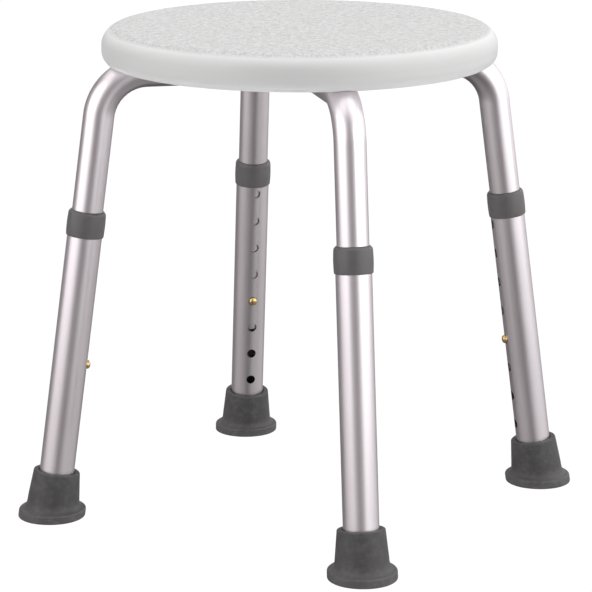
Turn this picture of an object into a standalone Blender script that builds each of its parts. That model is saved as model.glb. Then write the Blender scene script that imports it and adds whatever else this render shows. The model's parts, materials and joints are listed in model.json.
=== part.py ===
"""Round shower stool: a hollow plastic seat on two crossing U-shaped aluminium tubes.

The four splayed upper legs are the U tubes' ends. A lower leg tube slides over each of them and is held by a
sprung snap button that stands in one of its holes. Metres, +Z up, origin on the floor under the seat's centre.
The right leg points to +X, the rear leg to +Y. "s" is always the distance up a leg's own axis from the floor.
"""

import math

import bmesh
import bpy
from mathutils import Matrix, Vector

# Clearances and facets
GAP = 0.0003  # between pieces that touch
SIDES = 16  # facets round a tube and all that fits on it
SEAT_SIDES = 48
HOLE_SIDES = 12
BEND_STEPS = 6
CRIMP_STEPS = 3
ROUND_STEPS = 3
POCKET_SIDES = 24

# Seat
SEAT_RADIUS = 0.1617
SEAT_TOP = 0.4036
SEAT_DEPTH = 0.0300
SEAT_TOP_ROUND = 0.0153
SEAT_BASE_ROUND = 0.0100
SEAT_ROUND_STEPS = 5
SEAT_WALL = 0.003
SEAT_BASE = SEAT_TOP - SEAT_DEPTH
TACK_OFF_RADIUS = 0.085  # from the seat's centre, on the diagonals
TACK_OFF_MOUTH = 0.014
TACK_OFF_END = 0.009
DRAIN_RADIUS = 0.130
DRAIN_HOLE = 0.003
POCKET_RADIUS = 0.038  # room for the widened crossing of the two tubes

# Legs
LEG_AZIMUTHS = {"right": 0, "rear": 90, "left": 180, "front": 270}
FOOT_RADIUS = 0.212  # where a leg's axis meets the floor
SPLAY = math.radians(7.66)
UPPER_TUBE = 0.0127
LOWER_TUBE = 0.0143
TUBE_WALL = 0.0013
HOLE_PITCH = 0.0254
HOLE_COUNT = 8
HOLES_BELOW_BUTTON = 3
BUTTON_S = 0.131
BUTTON_HOLE = 0.00395
UPPER_TUBE_END_S = 0.1035

# Runs under the seat, and the bend that joins them to the legs
RUN_HEIGHT = 0.370
BEND_RADIUS = 0.040
CRIMP_FLAT = 0.0165  # half length of the crossing's flattened stretch
CRIMP_END = 0.034
CRIMP_WIDENING = 0.12
CROSSING_GAP = 0.00015  # each tube stays this far from the level of the run's axis

# Lower leg, collar and tip
LOWER_TUBE_START_S = 0.007
LOWER_TUBE_END_S = 0.256
COLLAR_START_S = 0.2385
COLLAR_END_S = 0.260
COLLAR_RADIUS = 0.0157
COLLAR_ROUND = 0.0026
COLLAR_FOOT_HEIGHT = 0.0012  # its bottom edge is drawn in over this height
COLLAR_FOOT_INSET = 0.0006
TIP_TOP_S = 0.039
TIP_BORE_S = 0.005
TIP_LIP_RADIUS = 0.0192
TIP_LIP_CHAMFER = 0.001
TIP_MOUTH_CHAMFER = 0.0006
TIP_BODY_RADIUS = 0.0214
TIP_BODY_S = 0.0125
# Each row of the flare: how far below the body, how much wider than it, and 1 for square to the leg, 0 for level
FLARE_ROWS = ((0.0025, 0.0006, 0.6), (0.0042, 0.0022, 0.2))
FLANGE_RADIUS = 0.0278
FLANGE_DEPTH = 0.0076
FLANGE_TOP_CHAMFER = 0.0016
FLANGE_BASE_CHAMFER = 0.0012
GROOVE_INSIDE = 0.018
GROOVE_OUTSIDE = 0.0225
GROOVE_DEPTH = 0.0018
GROOVE_DRAFT = 0.0004
TIP_WASHER_HOLE = 0.004
TIP_WASHER_DEPTH = 0.0015

# Snap button and its spring
BUTTON_RADIUS = 0.00355
BUTTON_REACH = 0.0173  # from the leg's axis to the button's crown
BUTTON_DOME = 0.0022
BUTTON_FLANGE = 0.00475
BUTTON_FLANGE_DEPTH = 0.001
BUTTON_FLANGE_REACH = 0.010
SPRING_WIDTH = 0.008
SPRING_THICKNESS = 0.0005
SPRING_LENGTH = 0.042
SPRING_APEX = 0.0025
SPRING_FAR_REACH = 0.0100
SPRING_TURN_IN = 0.0006
SPRING_END = 0.006  # each arm runs this far below the button's axis
APEX_STEPS = 4

# Fasteners: radii of the screw, its head, its insert, the boss round it and its washer
CENTRE_SIZES = {"shank": 0.0029, "head": 0.0056, "insert": 0.0045, "boss": 0.009, "washer": 0.008}
ARM_SIZES = {"shank": 0.0024, "head": 0.0048, "insert": 0.0040, "boss": 0.0075, "washer": 0.0056}
ARM_SCREW_RADIUS = 0.095  # from the seat's centre
ACCESS_HOLE = 0.006  # in each arm's lower wall, for the screw, its washer and the key
CENTRE_WASHER_BASE = 0.3545
ARM_WASHER_BASE = 0.3768
WASHER_DEPTH = 0.005
HEAD_DEPTH = 0.0034
HEAD_ROUND = 0.0015
SOCKET_SHARE = 0.5  # a hexagon socket's size against its head's
SOCKET_DEPTH_SHARE = 0.6
INSERT_BASE = 0.3836
INSERT_LENGTH = 0.0105
INSERT_GROOVE_DEPTH = 0.0006
INSERT_GROOVE_MOUTH = 0.0012  # half the groove's length at its mouth, and at its floor
INSERT_GROOVE_FLOOR = 0.0008
SCREW_END = 0.3925
SCREW_CHAMFER = 0.001
SCREW_TIP_SHARE = 0.8


def make_material(name, colour, roughness, metallic):
    material = bpy.data.materials.new(name)
    material.use_nodes = True
    shader = material.node_tree.nodes["Principled BSDF"]
    shader.inputs["Base Color"].default_value = (*colour, 1.0)
    shader.inputs["Roughness"].default_value = roughness
    shader.inputs["Metallic"].default_value = metallic
    return material


def make_object(name, mesh, material, parent=None, sharp_degrees=35):
    thing = bpy.data.objects.new(name, mesh)
    bpy.context.scene.collection.objects.link(thing)
    thing.parent = parent
    if material:
        mesh.materials.append(material)
        mesh.shade_smooth()
        mesh.set_sharp_from_angle(angle=math.radians(sharp_degrees))
    else:
        thing.hide_render = True
        thing.display_type = "WIRE"
    return thing


def make_frame_empty(name, matrix):
    """An empty that carries pieces which are made about their own line, its Z axis."""
    empty = bpy.data.objects.new(name, None)
    bpy.context.scene.collection.objects.link(empty)
    empty.matrix_world = matrix
    return empty


def mesh_from(name, fill):
    """A mesh filled by a function that works on a bmesh."""
    shape = bmesh.new()
    fill(shape)
    mesh = bpy.data.meshes.new(name)
    shape.to_mesh(mesh)
    shape.free()
    return mesh


def turned(name, profile, material, parent=None, sides=SIDES, closed=False):
    """A Screw of (radius, height) points that run down the outer side. A closed profile makes a ring."""
    mesh = bpy.data.meshes.new(name)
    edges = [(i, i + 1) for i in range(len(profile) - 1)]
    if closed:
        edges.append((len(profile) - 1, 0))
    mesh.from_pydata([(radius, 0, height) for radius, height in profile], edges, [])
    thing = make_object(name, mesh, material, parent)
    screw = thing.modifiers.new("Turned", "SCREW")
    screw.axis = "Z"
    screw.steps = sides
    screw.render_steps = sides
    screw.use_merge_vertices = True
    screw.merge_threshold = 0.00001
    return thing


def cut(thing, cutter, operation="DIFFERENCE"):
    boolean = thing.modifiers.new(cutter.name, "BOOLEAN")
    boolean.operation = operation
    boolean.solver = "EXACT"
    boolean.object = cutter


def cylinders(name, centres, radius, low, high, sides=HOLE_SIDES, top_radius=None):
    """A cutter of upright cylinders or cones at the given (x, y) centres, turned by half a facet."""
    half_facet = Matrix.Rotation(math.pi / sides, 4, "Z")

    def fill(shape):
        for x, y in centres:
            bmesh.ops.create_cone(
                shape,
                cap_ends=True,
                segments=sides,
                radius1=radius,
                radius2=radius if top_radius is None else top_radius,
                depth=high - low,
                matrix=Matrix.Translation((x, y, (low + high) / 2)) @ half_facet,
            )

    return make_object(name, mesh_from(name, fill), None)


def loft(name, rings, material, parent=None, closed=False):
    """Quads between rings of points. A closed loft joins its last ring to its first, as a pipe's wall does."""

    def fill(shape):
        loops = [[shape.verts.new(point) for point in ring] for ring in rings]
        pairs = list(zip(loops, loops[1:]))
        if closed:
            pairs.append((loops[-1], loops[0]))
        for low, high in pairs:
            for i in range(len(low)):
                j = (i + 1) % len(low)
                shape.faces.new((low[i], low[j], high[j], high[i]))
        if not closed:
            shape.faces.new(reversed(loops[0]))
            shape.faces.new(loops[-1])
        bmesh.ops.recalc_face_normals(shape, faces=shape.faces)

    return make_object(name, mesh_from(name, fill), material, parent)


def arc(centre, radius, start_degrees, end_degrees, steps):
    """(radius, height) points of a round stretch of a turned profile."""
    points = []
    for step in range(steps + 1):
        angle = math.radians(start_degrees + (end_degrees - start_degrees) * step / steps)
        points.append((centre[0] + radius * math.cos(angle), centre[1] + radius * math.sin(angle)))
    return points


def smooth_step(value):
    share = min(max(value, 0.0), 1.0)
    return share * share * (3 - 2 * share)


def plan_point(distance, azimuth_degrees):
    azimuth = math.radians(azimuth_degrees)
    return distance * math.cos(azimuth), distance * math.sin(azimuth)


# --- where the legs and the runs go ---


def leg_matrix(azimuth_degrees, s=0.0):
    """Z runs up the leg, X points away from the stool's middle, square to the leg."""
    x, y = plan_point(FOOT_RADIUS, azimuth_degrees)
    turn = Matrix.Rotation(math.radians(azimuth_degrees), 4, "Z") @ Matrix.Rotation(-SPLAY, 4, "Y")
    return Matrix.Translation((x, y, 0)) @ turn @ Matrix.Translation((0, 0, s))


def half_path():
    """(distance from centre, height, slope) down one side of a U tube: run, bend and leg, as far as its end.

    The slope is the tube's turn from level, so that the run has 0 and the leg has 90 degrees less the splay."""
    turn = math.pi / 2 - SPLAY
    corner = FOOT_RADIUS - RUN_HEIGHT * math.tan(SPLAY)
    bend_start = corner - BEND_RADIUS * math.tan(turn / 2)
    crimp = [CRIMP_FLAT + (CRIMP_END - CRIMP_FLAT) * step / CRIMP_STEPS for step in range(CRIMP_STEPS + 1)]
    stations = [(distance, RUN_HEIGHT, 0.0) for distance in crimp]
    for step in range(BEND_STEPS + 1):
        slope = turn * step / BEND_STEPS
        distance = bend_start + BEND_RADIUS * math.sin(slope)
        height = RUN_HEIGHT - BEND_RADIUS * (1 - math.cos(slope))
        stations.append((distance, height, slope))
    end_distance = FOOT_RADIUS - UPPER_TUBE_END_S * math.sin(SPLAY)
    stations.append((end_distance, UPPER_TUBE_END_S * math.cos(SPLAY), turn))
    return stations


def whole_path():
    """Both sides of a U tube, from the end of its leg on the minus side to the other end."""
    half = half_path()
    return [(-distance, height, -slope) for distance, height, slope in reversed(half)] + half


def ring_at(station, radius, keep=0, wall=0.0):
    """One section of a U tube that lies in the XZ plane.

    keep is 1 where the crimp keeps the tube's upper half, -1 where it keeps the lower, and 0 for no crimp. The
    other half is pressed flat, to just short of the axis, and the tube widens."""
    distance, height, slope = station
    pressed = 1 - smooth_step((abs(distance) - CRIMP_FLAT) / (CRIMP_END - CRIMP_FLAT)) if keep else 0.0
    flat = -radius + pressed * (radius + CROSSING_GAP + wall)
    width = radius * (1 + CRIMP_WIDENING * pressed)
    points = []
    for side in range(SIDES):
        angle = 2 * math.pi * side / SIDES
        across = width * math.cos(angle)
        up = radius * math.sin(angle)
        if keep:
            up = keep * max(keep * up, flat)
        points.append(Vector((distance + up * math.sin(slope), across, height + up * math.cos(slope))))
    return points


def turned_quarter(points, quarter):
    return [Vector((-point.y, point.x, point.z)) for point in points] if quarter else points


def sweep(name, radius, quarter):
    """A solid rod along a U tube's path, for cutting the seat's channels."""
    rings = [turned_quarter(ring_at(station, radius), quarter) for station in whole_path()]
    return loft(name, rings, None)


# --- materials ---


def make_materials():
    return {
        "seat_plastic": make_material("seat_plastic", (0.70, 0.70, 0.70), 0.55, 0.0),
        "anodised_aluminium": make_material("anodised_aluminium", (0.62, 0.59, 0.58), 0.32, 1.0),
        "collar_plastic": make_material("collar_plastic", (0.10, 0.095, 0.095), 0.5, 0.0),
        "tip_rubber": make_material("tip_rubber", (0.07, 0.066, 0.066), 0.75, 0.0),
        "brass": make_material("brass", (0.62, 0.42, 0.17), 0.3, 1.0),
        "steel": make_material("steel", (0.55, 0.55, 0.55), 0.3, 1.0),
    }


# --- seat ---


def seat_profile(inset):
    """The seat's section, or that of its hollow, which lies inside it by the wall's thickness."""
    top = SEAT_TOP - inset
    base = SEAT_BASE + inset
    rim = SEAT_RADIUS - inset
    top_round = SEAT_TOP_ROUND - inset
    base_round = SEAT_BASE_ROUND - inset
    upper = arc((rim - top_round, top - top_round), top_round, 90, 0, SEAT_ROUND_STEPS)
    lower = arc((rim - base_round, base + base_round), base_round, 0, -90, ROUND_STEPS)
    return [(0.0, top), *upper, *lower, (0.0, base)]


def make_seat_hollow(diagonals, screw_places):
    """The air space inside the shell: the walls of the channels, bosses and tack-offs stand in it."""
    hollow = turned("seat_hollow", seat_profile(SEAT_WALL), None, sides=SEAT_SIDES)
    reach = UPPER_TUBE + GAP + SEAT_WALL
    cut(hollow, sweep("channel_wall_x", reach, False))
    cut(hollow, sweep("channel_wall_y", reach, True))
    below = SEAT_BASE - SEAT_WALL
    above = SEAT_TOP + SEAT_WALL
    ceiling = INSERT_BASE - GAP
    pocket_reach = POCKET_RADIUS + SEAT_WALL
    pocket_wall = cylinders("pocket_wall", [(0, 0)], pocket_reach, below, ceiling + SEAT_WALL, POCKET_SIDES)
    cut(hollow, pocket_wall)
    cut(hollow, cylinders("centre_boss", [(0, 0)], CENTRE_SIZES["boss"], ceiling, above))
    cut(hollow, cylinders("arm_bosses", screw_places, ARM_SIZES["boss"], ceiling - SEAT_WALL, above))
    places = [plan_point(TACK_OFF_RADIUS, azimuth) for azimuth in diagonals]
    walls = cylinders(
        "tack_off_walls",
        places,
        TACK_OFF_MOUTH + SEAT_WALL,
        SEAT_BASE,
        above,
        top_radius=TACK_OFF_END + SEAT_WALL,
    )
    cut(hollow, walls)
    return hollow


def make_seat(materials):
    """A blow-moulded shell with a channel for each tube, and screw bosses reaching up to the top skin."""
    diagonals = [azimuth + 45 for azimuth in LEG_AZIMUTHS.values()]
    screw_places = [plan_point(ARM_SCREW_RADIUS, azimuth) for azimuth in LEG_AZIMUTHS.values()]
    seat = turned("seat", seat_profile(0.0), materials["seat_plastic"], sides=SEAT_SIDES)
    cut(seat, make_seat_hollow(diagonals, screw_places))
    cut(seat, sweep("channel_x", UPPER_TUBE + GAP, False))
    cut(seat, sweep("channel_y", UPPER_TUBE + GAP, True))
    below = SEAT_BASE - SEAT_WALL
    ceiling = INSERT_BASE - GAP
    insert_end = INSERT_BASE + INSERT_LENGTH + GAP
    cut(seat, cylinders("pocket", [(0, 0)], POCKET_RADIUS, below, ceiling, POCKET_SIDES))
    cut(seat, cylinders("centre_hole", [(0, 0)], CENTRE_SIZES["insert"] + GAP, RUN_HEIGHT, insert_end))
    cut(seat, cylinders("arm_holes", screw_places, ARM_SIZES["insert"] + GAP, RUN_HEIGHT, insert_end))
    places = [plan_point(TACK_OFF_RADIUS, azimuth) for azimuth in diagonals]
    tack_offs = cylinders(
        "tack_offs",
        places,
        TACK_OFF_MOUTH,
        SEAT_BASE - GAP,
        SEAT_TOP - 2 * SEAT_WALL,
        top_radius=TACK_OFF_END,
    )
    cut(seat, tack_offs)
    drains = [plan_point(DRAIN_RADIUS, azimuth) for azimuth in diagonals]
    cut(seat, cylinders("drains", drains, DRAIN_HOLE, below, SEAT_BASE + 2 * SEAT_WALL))


# --- frame tubes and their fasteners ---


def make_frame_tube(name, quarter, keep, materials):
    """A bent tube whose middle is pressed to half its depth, so that the two cross at one level."""
    path = whole_path()
    inside = UPPER_TUBE - TUBE_WALL
    outer = [turned_quarter(ring_at(station, UPPER_TUBE, keep), quarter) for station in path]
    inner = [turned_quarter(ring_at(station, inside, keep, TUBE_WALL), quarter) for station in path]
    tube = loft(name, outer + inner[::-1], materials["anodised_aluminium"], closed=True)
    azimuths = [90, 270] if quarter else [0, 180]
    low = RUN_HEIGHT - 2 * UPPER_TUBE
    high = RUN_HEIGHT + 2 * UPPER_TUBE
    places = [plan_point(ARM_SCREW_RADIUS, azimuth) for azimuth in azimuths]
    cut(tube, cylinders(f"{name}_arm_holes", places, ARM_SIZES["shank"] + 2 * GAP, RUN_HEIGHT, high))
    cut(tube, cylinders(f"{name}_access_holes", places, ACCESS_HOLE, low, RUN_HEIGHT))
    cut(tube, cylinders(f"{name}_centre_hole", [(0, 0)], CENTRE_SIZES["shank"] + 2 * GAP, low, high))
    for azimuth in azimuths:
        cut(tube, button_hole_cutter(f"{name}_button_hole_{azimuth}", azimuth, [BUTTON_S]))
    return tube


def make_screw(name, place, sizes, washer_base, materials):
    """A pan-head screw with a hexagon socket, driven upwards."""
    x, y = place
    top = washer_base - GAP
    base = top - HEAD_DEPTH
    head = sizes["head"]
    profile = [
        (0.0, SCREW_END),
        (sizes["shank"] * SCREW_TIP_SHARE, SCREW_END),
        (sizes["shank"], SCREW_END - SCREW_CHAMFER),
        (sizes["shank"], top),
        (head, top),
        *arc((head - HEAD_ROUND, base + HEAD_ROUND), HEAD_ROUND, 0, -90, ROUND_STEPS),
        (0.0, base),
    ]
    screw = turned(name, profile, materials["steel"], sides=HOLE_SIDES)
    screw.location = (x, y, 0)
    socket_end = base + SOCKET_DEPTH_SHARE * HEAD_DEPTH
    cut(screw, cylinders(f"{name}_socket", [place], head * SOCKET_SHARE, base - GAP, socket_end, 6))


def make_washer_blank(name, place, sizes, base, materials):
    x, y = place
    hole = sizes["shank"] + GAP
    outside = sizes["washer"]
    top = base + WASHER_DEPTH
    profile = [(hole, top), (outside, top), (outside, base), (hole, base)]
    washer = turned(name, profile, materials["collar_plastic"], closed=True)
    washer.location = (x, y, 0)
    return washer


def run_rod(name, place, radius, along_x, widening=0.0):
    """A cutter along a short stretch of a tube's run, as wide as the crimp makes it."""
    x, y = place
    turn = Matrix.Rotation(math.pi / 2, 4, "Y" if along_x else "X")
    widen = Matrix.Diagonal((1 + widening, 1, 1, 1))

    def fill(shape):
        bmesh.ops.create_cone(
            shape,
            cap_ends=True,
            segments=SIDES,
            radius1=radius,
            radius2=radius,
            depth=4 * CENTRE_SIZES["washer"],
            matrix=Matrix.Translation((x, y, RUN_HEIGHT)) @ widen @ turn,
        )

    return make_object(name, mesh_from(name, fill), None)


def make_centre_washer(materials):
    """A plastic washer, hollowed on top to sit on the crossing's widened underside."""
    name = "centre_saddle_washer"
    washer = make_washer_blank(name, (0, 0), CENTRE_SIZES, CENTRE_WASHER_BASE, materials)
    cut(washer, run_rod("crossing_underside", (0, 0), UPPER_TUBE + GAP, False, CRIMP_WIDENING))


def make_arm_washer(side, place, along_x, materials):
    """A plastic washer inside the arm, crowned to fit the tube's upper wall."""
    washer = make_washer_blank(f"{side}_saddle_washer", place, ARM_SIZES, ARM_WASHER_BASE, materials)
    bore = run_rod(f"{side}_arm_bore", place, UPPER_TUBE - TUBE_WALL - GAP, along_x)
    cut(washer, bore, "INTERSECT")


def make_insert(name, place, sizes, materials):
    """A threaded bush with a groove round it that keeps it in its boss."""
    x, y = place
    bore = sizes["shank"] + GAP
    outside = sizes["insert"]
    groove = outside - INSERT_GROOVE_DEPTH
    base = INSERT_BASE
    end = base + INSERT_LENGTH
    middle = (base + end) / 2
    profile = [
        (bore, end),
        (outside, end),
        (outside, middle + INSERT_GROOVE_MOUTH),
        (groove, middle + INSERT_GROOVE_FLOOR),
        (groove, middle - INSERT_GROOVE_FLOOR),
        (outside, middle - INSERT_GROOVE_MOUTH),
        (outside, base),
        (bore, base),
    ]
    insert = turned(name, profile, materials["brass"], sides=HOLE_SIDES, closed=True)
    insert.location = (x, y, 0)


def make_fasteners(materials):
    make_screw("centre_screw", (0, 0), CENTRE_SIZES, CENTRE_WASHER_BASE, materials)
    make_centre_washer(materials)
    make_insert("centre_insert", (0, 0), CENTRE_SIZES, materials)
    for side, azimuth in LEG_AZIMUTHS.items():
        place = plan_point(ARM_SCREW_RADIUS, azimuth)
        make_screw(f"{side}_arm_screw", place, ARM_SIZES, ARM_WASHER_BASE, materials)
        make_arm_washer(side, place, azimuth in (0, 180), materials)
        make_insert(f"{side}_insert", place, ARM_SIZES, materials)


# --- lower legs ---


def button_hole_cutter(name, azimuth, heights):
    """Cylinders square to a leg, through the wall on the side that faces the stool's middle."""

    def fill(shape):
        for s in heights:
            place = leg_matrix(azimuth, s) @ Matrix.Translation((-LOWER_TUBE, 0, 0))
            bmesh.ops.create_cone(
                shape,
                cap_ends=True,
                segments=HOLE_SIDES,
                radius1=BUTTON_HOLE,
                radius2=BUTTON_HOLE,
                depth=LOWER_TUBE,
                matrix=place @ Matrix.Rotation(math.pi / 2, 4, "Y"),
            )

    return make_object(name, mesh_from(name, fill), None)


def make_lower_tube(side, azimuth, leg, materials):
    low = LOWER_TUBE_START_S
    high = LOWER_TUBE_END_S
    inside = LOWER_TUBE - TUBE_WALL
    profile = [(inside, high), (LOWER_TUBE, high), (LOWER_TUBE, low), (inside, low)]
    tube = turned(f"{side}_lower_tube", profile, materials["anodised_aluminium"], leg, closed=True)
    lowest = BUTTON_S - HOLES_BELOW_BUTTON * HOLE_PITCH
    heights = [lowest + HOLE_PITCH * number for number in range(HOLE_COUNT)]
    cut(tube, button_hole_cutter(f"{side}_holes", azimuth, heights))


def make_collar(side, leg, materials):
    """A sleeve over the lower tube's end, with a lip that closes the gap to the upper tube."""
    bore = LOWER_TUBE + GAP
    lip_bore = UPPER_TUBE + GAP
    lip_s = LOWER_TUBE_END_S + GAP
    rounded = COLLAR_RADIUS - COLLAR_ROUND
    profile = [
        (lip_bore, COLLAR_END_S),
        *arc((rounded, COLLAR_END_S - COLLAR_ROUND), COLLAR_ROUND, 90, 0, ROUND_STEPS),
        (COLLAR_RADIUS, COLLAR_START_S + COLLAR_FOOT_HEIGHT),
        (COLLAR_RADIUS - COLLAR_FOOT_INSET, COLLAR_START_S),
        (bore, COLLAR_START_S),
        (bore, lip_s),
        (lip_bore, lip_s),
    ]
    turned(f"{side}_collar", profile, materials["collar_plastic"], leg, closed=True)


def tip_ring(s, radius, square):
    """A ring of the rubber tip: level with the floor where square is 0, square to the leg where it is 1."""
    tilt = SPLAY * (1 - square)
    points = []
    for side in range(SIDES):
        angle = 2 * math.pi * side / SIDES
        out = radius * math.cos(angle)
        points.append(Vector((out * math.cos(tilt), radius * math.sin(angle), s - out * math.sin(tilt))))
    return points


def make_tip(side, leg, materials):
    """A cup whose body follows the leg and whose flange has settled flat on the floor."""
    bore = LOWER_TUBE + GAP
    flare = [(TIP_BODY_S - drop, TIP_BODY_RADIUS + out, square) for drop, out, square in FLARE_ROWS]
    rows = [
        (TIP_BORE_S, bore, 1),
        (TIP_TOP_S - TIP_LIP_CHAMFER, bore, 1),
        (TIP_TOP_S, bore + TIP_MOUTH_CHAMFER, 1),
        (TIP_TOP_S, TIP_LIP_RADIUS - TIP_LIP_CHAMFER, 1),
        (TIP_TOP_S - TIP_LIP_CHAMFER, TIP_LIP_RADIUS, 1),
        (TIP_BODY_S, TIP_BODY_RADIUS, 1),
        *flare,
        (FLANGE_DEPTH, FLANGE_RADIUS - FLANGE_TOP_CHAMFER, 0),
        (FLANGE_DEPTH - FLANGE_TOP_CHAMFER, FLANGE_RADIUS, 0),
        (FLANGE_BASE_CHAMFER, FLANGE_RADIUS, 0),
        (0.0, FLANGE_RADIUS - FLANGE_BASE_CHAMFER, 0),
        (0.0, GROOVE_OUTSIDE, 0),
        (GROOVE_DEPTH, GROOVE_OUTSIDE - GROOVE_DRAFT, 0),
        (GROOVE_DEPTH, GROOVE_INSIDE + GROOVE_DRAFT, 0),
        (0.0, GROOVE_INSIDE, 0),
    ]
    rings = [tip_ring(s, radius, square) for s, radius, square in rows]
    loft(f"{side}_rubber_tip", rings, materials["tip_rubber"], leg)


def make_tip_washer(side, leg, materials):
    low = TIP_BORE_S + GAP
    high = low + TIP_WASHER_DEPTH - GAP
    outside = LOWER_TUBE - GAP
    profile = [(TIP_WASHER_HOLE, high), (outside, high), (outside, low), (TIP_WASHER_HOLE, low)]
    turned(f"{side}_tip_washer", profile, materials["steel"], leg, closed=True)


def make_button(side, azimuth, materials):
    """A brass stud: its flange bears on the upper tube's inside, its crown stands through both walls."""
    place = leg_matrix(azimuth, BUTTON_S) @ Matrix.Rotation(-math.pi / 2, 4, "Y")
    carrier = make_frame_empty(f"{side}_button_axis", place)
    shoulder = BUTTON_REACH - BUTTON_DOME
    crown = []
    for degrees in (90, 60, 30):
        angle = math.radians(degrees)
        crown.append((BUTTON_RADIUS * math.cos(angle), shoulder + BUTTON_DOME * math.sin(angle)))
    crown[0] = (0.0, BUTTON_REACH)
    flange_base = BUTTON_FLANGE_REACH - BUTTON_FLANGE_DEPTH
    profile = [
        *crown,
        (BUTTON_RADIUS, shoulder),
        (BUTTON_RADIUS, BUTTON_FLANGE_REACH),
        (BUTTON_FLANGE, BUTTON_FLANGE_REACH),
        (BUTTON_FLANGE, flange_base),
        (0.0, flange_base),
    ]
    turned(f"{side}_snap_button", profile, materials["brass"], carrier, sides=HOLE_SIDES)


def spring_line():
    """The strip's middle line: (out from the leg's axis, up from the button), a V with its point upwards."""
    near = -(BUTTON_FLANGE_REACH - BUTTON_FLANGE_DEPTH - GAP - SPRING_THICKNESS / 2)
    line = [(near, -SPRING_END), (near, SPRING_END)]
    apex_height = SPRING_LENGTH - SPRING_APEX
    for step in range(APEX_STEPS + 1):
        angle = math.pi * (1 - step / APEX_STEPS)
        line.append((SPRING_APEX * math.cos(angle), apex_height + SPRING_APEX * math.sin(angle)))
    line.append((SPRING_FAR_REACH, 0.0))
    line.append((SPRING_FAR_REACH - SPRING_TURN_IN, -SPRING_END))
    return line


def make_spring(side, leg, materials):
    """The V of spring strip that pushes the button out against the opposite wall."""
    line = [Vector((out, 0, BUTTON_S + up)) for out, up in spring_line()]
    rings = []
    for i, point in enumerate(line):
        before = line[max(i - 1, 0)]
        after = line[min(i + 1, len(line) - 1)]
        along = (after - before).normalized()
        across = Vector((along.z, 0, -along.x)) * SPRING_THICKNESS / 2
        aside = Vector((0, SPRING_WIDTH / 2, 0))
        near = [point - across - aside, point + across - aside]
        rings.append([*near, point + across + aside, point - across + aside])
    loft(f"{side}_button_spring", rings, materials["steel"], leg)


def make_leg(side, azimuth, materials):
    leg = make_frame_empty(f"{side}_leg_axis", leg_matrix(azimuth))
    make_lower_tube(side, azimuth, leg, materials)
    make_collar(side, leg, materials)
    make_tip(side, leg, materials)
    make_tip_washer(side, leg, materials)
    make_button(side, azimuth, materials)
    make_spring(side, leg, materials)


def main():
    for thing in list(bpy.data.objects):
        bpy.data.objects.remove(thing, do_unlink=True)
    materials = make_materials()
    make_seat(materials)
    make_frame_tube("side_frame_tube", False, 1, materials)
    make_frame_tube("fore_aft_frame_tube", True, -1, materials)
    make_fasteners(materials)
    for side, azimuth in LEG_AZIMUTHS.items():
        make_leg(side, azimuth, materials)


main()
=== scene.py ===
"""The finished round shower stool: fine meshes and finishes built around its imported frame. Metres, +Z up."""

import json
import math

import bmesh
import bpy
from mathutils import Matrix, Vector, noise


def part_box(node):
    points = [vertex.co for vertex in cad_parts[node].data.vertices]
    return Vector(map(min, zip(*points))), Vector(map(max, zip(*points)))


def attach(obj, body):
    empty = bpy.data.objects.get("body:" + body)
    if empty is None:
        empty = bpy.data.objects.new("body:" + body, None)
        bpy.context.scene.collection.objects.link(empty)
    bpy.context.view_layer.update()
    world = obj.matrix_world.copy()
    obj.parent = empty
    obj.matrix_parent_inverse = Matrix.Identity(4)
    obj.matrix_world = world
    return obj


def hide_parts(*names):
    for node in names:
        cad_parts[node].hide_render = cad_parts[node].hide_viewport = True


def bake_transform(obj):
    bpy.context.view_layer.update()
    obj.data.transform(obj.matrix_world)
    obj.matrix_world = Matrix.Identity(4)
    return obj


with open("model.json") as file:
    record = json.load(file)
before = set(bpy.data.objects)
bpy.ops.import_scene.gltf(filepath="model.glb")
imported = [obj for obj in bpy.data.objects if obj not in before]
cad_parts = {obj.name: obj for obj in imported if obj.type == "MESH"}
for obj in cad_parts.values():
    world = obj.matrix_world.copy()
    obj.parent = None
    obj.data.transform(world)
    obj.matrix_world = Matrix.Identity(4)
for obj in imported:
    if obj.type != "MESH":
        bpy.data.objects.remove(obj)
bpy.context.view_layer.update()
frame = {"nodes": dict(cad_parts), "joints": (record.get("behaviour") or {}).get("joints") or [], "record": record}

for stray in ("Cube", "Light", "Camera"):
    if stray in bpy.data.objects:
        bpy.data.objects.remove(bpy.data.objects[stray])

# ----------------------------------------
# Seat: one hollow shell, blow-moulded in white polyethylene and pebbled on top against slipping when wet.
# The mould's halves leave a fine raised line round the rim, a little above its bottom edge. Underneath are a
# channel for each frame tube, a pocket where the tubes cross, and round tack-offs that tie the two skins.
# ----------------------------------------
SEAT_TOP_ROUND = 0.0153
SEAT_BASE_ROUND = 0.0100
SEAT_STEPS = 256
PEBBLED_RADIUS = 0.1545  # the pebbles end a little way down the round
PEBBLED_SPANS = 256
PEBBLE_SPACING = 0.0031
PEBBLE_RISE = 0.00022
PEBBLE_FADE = 0.003
CAP_SHARE = 0.999  # the pebbled cap stops just short of the shell's own ring
LUMP_SPACING = 0.0052
PARTING_DEGREES = 52  # how far round the bottom edge
PARTING_PROUD = 0.0003
SINK_DEPTH = 0.00012
SINK_RADIUS = 0.014
TACK_OFF_RADIUS = 0.085
TACK_OFF_MOUTH = 0.014
TACK_OFF_END = 0.009
TACK_OFF_SKIN = 0.006
DRAIN_RADIUS = 0.130
DRAIN_HOLE = 0.003
DRAIN_DEPTH = 0.012
# The smooth rim's greys. The rim is painted paler towards its top round, between the two heights below the top: a
# painted highlight.
SEAT_SIDE_AND_HIGHLIGHT_GREYS = ((0.785, 0.785, 0.783), (0.90, 0.90, 0.898))
SIDE_HIGHLIGHT_FROM = 0.0115  # below the top
SIDE_HIGHLIGHT_TO = 0.0045
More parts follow.
